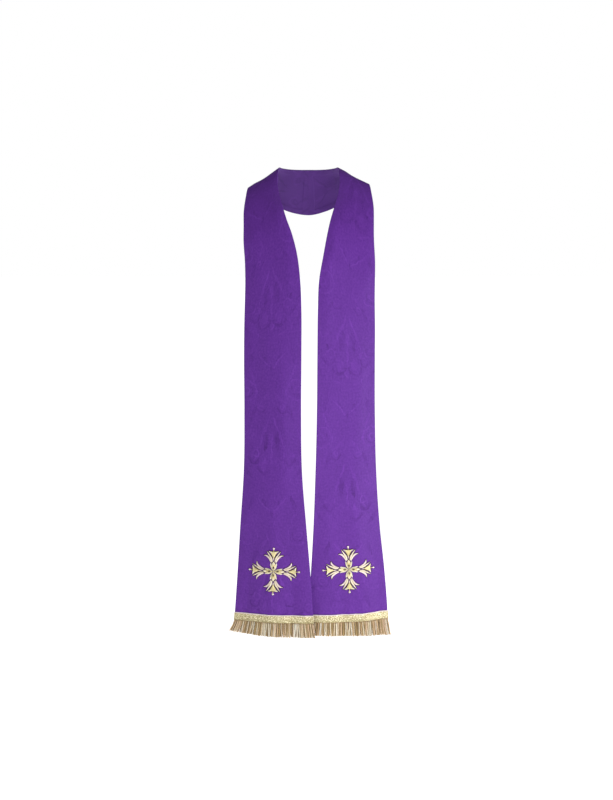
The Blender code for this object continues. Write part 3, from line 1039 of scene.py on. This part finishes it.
def stitched_rings(shape, grow, ribbed):
    """A shape's rings in the cross's plane, with heights: a low dome of satin stitches.

    Without ribs it is the flatter outline, which is grown past the shape on all sides.
    """
    spine = np.array(shape.spine, float)
    length = distances(spine)[-1]
    pitch = STITCH_PITCH / 2 if ribbed else UNDERLAY_PITCH
    rows = max(int(length / pitch), FEWEST_ROWS)
    line, direction = smooth_line(spine, rows)
    share = np.linspace(0.0, 1.0, rows)
    steps = np.linspace(0.0, 1.0, len(shape.half_widths))
    blunt = np.sqrt(np.clip(np.minimum(share, 1 - share) * length / max(grow, LEAST_BLUNTING), 0.0, 1.0))
    half = np.interp(share, steps, shape.half_widths) + grow * blunt
    line = line + direction * (grow * (2 * share - 1))[:, None]
    offset = np.sin(np.linspace(-math.pi / 2, math.pi / 2, RING_PLACES))
    normal = np.stack([direction[:, 1], -direction[:, 0]], axis=1)
    flat = line[:, None, :] + normal[:, None, :] * (half[:, None] * offset[None, :])[..., None]
    dome = np.sqrt(np.clip(1 - offset**2, 0.0, 1.0))
    slant = STITCH_SLANT * half[:, None] * np.abs(offset)[None, :]
    flat = flat + direction[:, None, :] * slant[..., None]
    if not ribbed:
        return flat, shape.edge - UNDERLAY / 2 + UNDERLAY * dome[None, :] + np.zeros((rows, 1))
    ridge = STITCH_RIDGE * np.where(np.arange(rows) % 2 == 0, 1.0, -1.0)
    return flat, shape.edge + (shape.top - shape.edge + ridge[:, None]) * dome[None, :]


def onto_panel(band, flat, height):
    """Maps places in the cross's plane onto the panel. A cross is a little wider than it is tall."""
    tilt = math.radians(CROSS_TILT_DEGREES[band.side])
    x = flat[..., 0] * CROSS_WIDEN
    y = flat[..., 1] * CROSS_SHORTEN
    turned_x = (x * math.cos(tilt) - y * math.sin(tilt) + CROSS_OUTWARDS[band.side]) * MM
    turned_y = (x * math.sin(tilt) + y * math.cos(tilt)) * MM
    along = band.hem - CROSS_ABOVE_HEM[band.side] - turned_y
    across = 0.5 + turned_x / band.width(along)
    return band.point(along, across, height * MM)


def placed_shapes():
    """Every shape of a cross, turned and mirrored into place, with the lowest ones first."""
    for layer in (ARM, ARM_TOP):
        for quarter in range(4):
            cosine = math.cos(math.radians(90 * quarter))
            sine = math.sin(math.radians(90 * quarter))
            for shape in layer:
                for mirror in (1, -1) if shape.mirror else (1,):
                    x, y = np.array(shape.spine, float).T * [[mirror], [1]]
                    turned = np.stack([x * cosine - y * sine, x * sine + y * cosine], axis=1)
                    yield shape._replace(spine=turned)
    yield HUB


def make_cross(band, threads):
    """An embroidered cross: satin-stitched shapes over a dark underlay that outlines them and paints the
    shade round them.
    """
    side = band.side
    bodies = []
    generator = random.Random("cross " + side)
    for shape in placed_shapes():
        tint = generator.uniform(*STITCH_TINTS)
        parts = [(0.0, True, shape.thread)]
        # The dark outline is partly painted shade around the raised stitches.
        if shape.outline:
            parts.append((shape.outline, False, DARK))
        for grow, ribbed, thread in parts:
            flat, height = stitched_rings(shape, grow, ribbed)
            above = onto_panel(band, flat, height)
            below = onto_panel(band, flat[:, ::-1], np.full(height.shape, CROSS_BACK))
            points = np.concatenate([above, below], axis=1)
            vertices, faces = ribbon_mesh(points)
            bodies.append((vertices, faces, thread, tint))
    vertices, faces, slots, tints = joined(bodies)
    name = "cross_" + side + "_stitches"
    cross = make_object(name, vertices, faces, slots, threads, tints, band.sign < 0)
    settle(cross, "cross_" + side)
    return cross


# -------- the stage
FLOOR_LEVEL = -1.50
FLOOR_REACH = 20
FLOOR_COLOUR = (0.9, 0.9, 0.9, 1.0)
WHITE = (1.0, 1.0, 1.0, 1.0)
FILL_COLOUR = (0.95, 0.96, 1.0, 1.0)
FILL_STRENGTH = 0.17
Softbox = namedtuple("Softbox", "name position target size power")
SOFTBOXES = [
    Softbox("key", (1.70, -1.20, -0.80), (0.0, -0.1, -0.62), (0.7, 1.0), 18.0),
    Softbox("top_fill", (0.0, -0.3, 1.1), (0.0, 0.0, -0.05), (0.9, 0.9), 3.0),
    Softbox("back_fill", (0.5, 1.9, -0.3), (0.0, 0.0, -0.5), (1.2, 1.2), 9.0),
    Softbox("front_fill", (0.25, -1.85, -0.85), (0.0, -0.1, -0.75), (0.9, 0.9), 7.2),
]
CAMERA_POSITION = (-0.005, -3.15, -0.072)
CAMERA_TARGET = (-0.005, -0.125, -0.552)
SENSOR_WIDTH = 36.0
# How much of the height at the target the picture shows, in metres.
SEEN_HEIGHT = 1.92
AREA_STEPS = 400


def make_stage():
    """A pale floor below the stole, and a white world that gives little of the light."""
    material, _, shader = new_material("floor", roughness=0.9)
    shader.inputs["Base Color"].default_value = FLOOR_COLOUR
    shader.inputs["Emission Color"].default_value = WHITE
    shader.inputs["Emission Strength"].default_value = 1.0
    mesh = bpy.data.meshes.new("floor")
    corners = [(-1, -1), (1, -1), (1, 1), (-1, 1)]
    vertices = [(x * FLOOR_REACH, y * FLOOR_REACH, FLOOR_LEVEL) for x, y in corners]
    mesh.from_pydata(vertices, [], [(0, 1, 2, 3)])
    mesh.materials.append(material)
    add_object("floor", mesh)
    world = bpy.data.worlds.new("studio")
    world.use_nodes = True
    bpy.context.scene.world = world
    tree = world.node_tree
    tree.nodes.clear()
    path = tree.nodes.new("ShaderNodeLightPath")
    mix = tree.nodes.new("ShaderNodeMixShader")
    out = tree.nodes.new("ShaderNodeOutputWorld")
    tree.links.new(path.outputs["Is Camera Ray"], mix.inputs["Fac"])
    for place, colour, strength in ((1, FILL_COLOUR, FILL_STRENGTH), (2, WHITE, 1.0)):
        background = tree.nodes.new("ShaderNodeBackground")
        background.inputs["Color"].default_value = colour
        background.inputs["Strength"].default_value = strength
        tree.links.new(background.outputs["Background"], mix.inputs[place])
    tree.links.new(mix.outputs["Shader"], out.inputs["Surface"])


def aim(thing, position, target):
    """Puts a light or the camera at its position, pointing at its target."""
    thing.location = position
    thing.rotation_euler = (Vector(target) - Vector(position)).to_track_quat("-Z", "Y").to_euler()


def add_softbox(softbox):
    data = bpy.data.lights.new(softbox.name, "AREA")
    data.shape = "RECTANGLE"
    data.size, data.size_y = softbox.size
    data.energy = softbox.power
    aim(add_object(softbox.name, data), softbox.position, softbox.target)


def make_camera():
    """From the front, at the height of the neck, looking a little down."""
    distance = (Vector(CAMERA_TARGET) - Vector(CAMERA_POSITION)).length
    data = bpy.data.cameras.new("camera")
    data.sensor_width = SENSOR_WIDTH
    data.lens = SENSOR_WIDTH * distance / SEEN_HEIGHT
    camera = add_object("camera", data)
    aim(camera, CAMERA_POSITION, CAMERA_TARGET)
    bpy.context.scene.camera = camera


def flat_size(band):
    """The greatest width of one half of the band, and its area, when it is laid flat."""
    along = np.linspace(0.0, band.hem, AREA_STEPS)
    widths = band.width(along)
    area = float(np.sum((widths[1:] + widths[:-1]) / 2 * np.diff(along)))
    return float(widths.max()), area


def main():
    damask = make_damask()
    wrong_side = make_wrong_side()
    braid = thread_material(BRAID)
    edge_and_highlight = thread_material(EDGE_AND_HIGHLIGHT)
    cord = thread_material(FRINGE_CORD)
    stitches = [thread_material(thread) for thread in STITCHES]
    for side in SIDES:
        band = Band(side)
        cloth = make_cloth(band, damask, wrong_side)
        trim = [make_galloon(band, braid, edge_and_highlight), make_fringe(band, cord), make_cross(band, stitches)]
        widest, area = flat_size(band)
    make_stage()
    for softbox in SOFTBOXES:
        add_softbox(softbox)
    make_camera()
    bpy.context.scene.view_settings.view_transform = "Standard"


main()
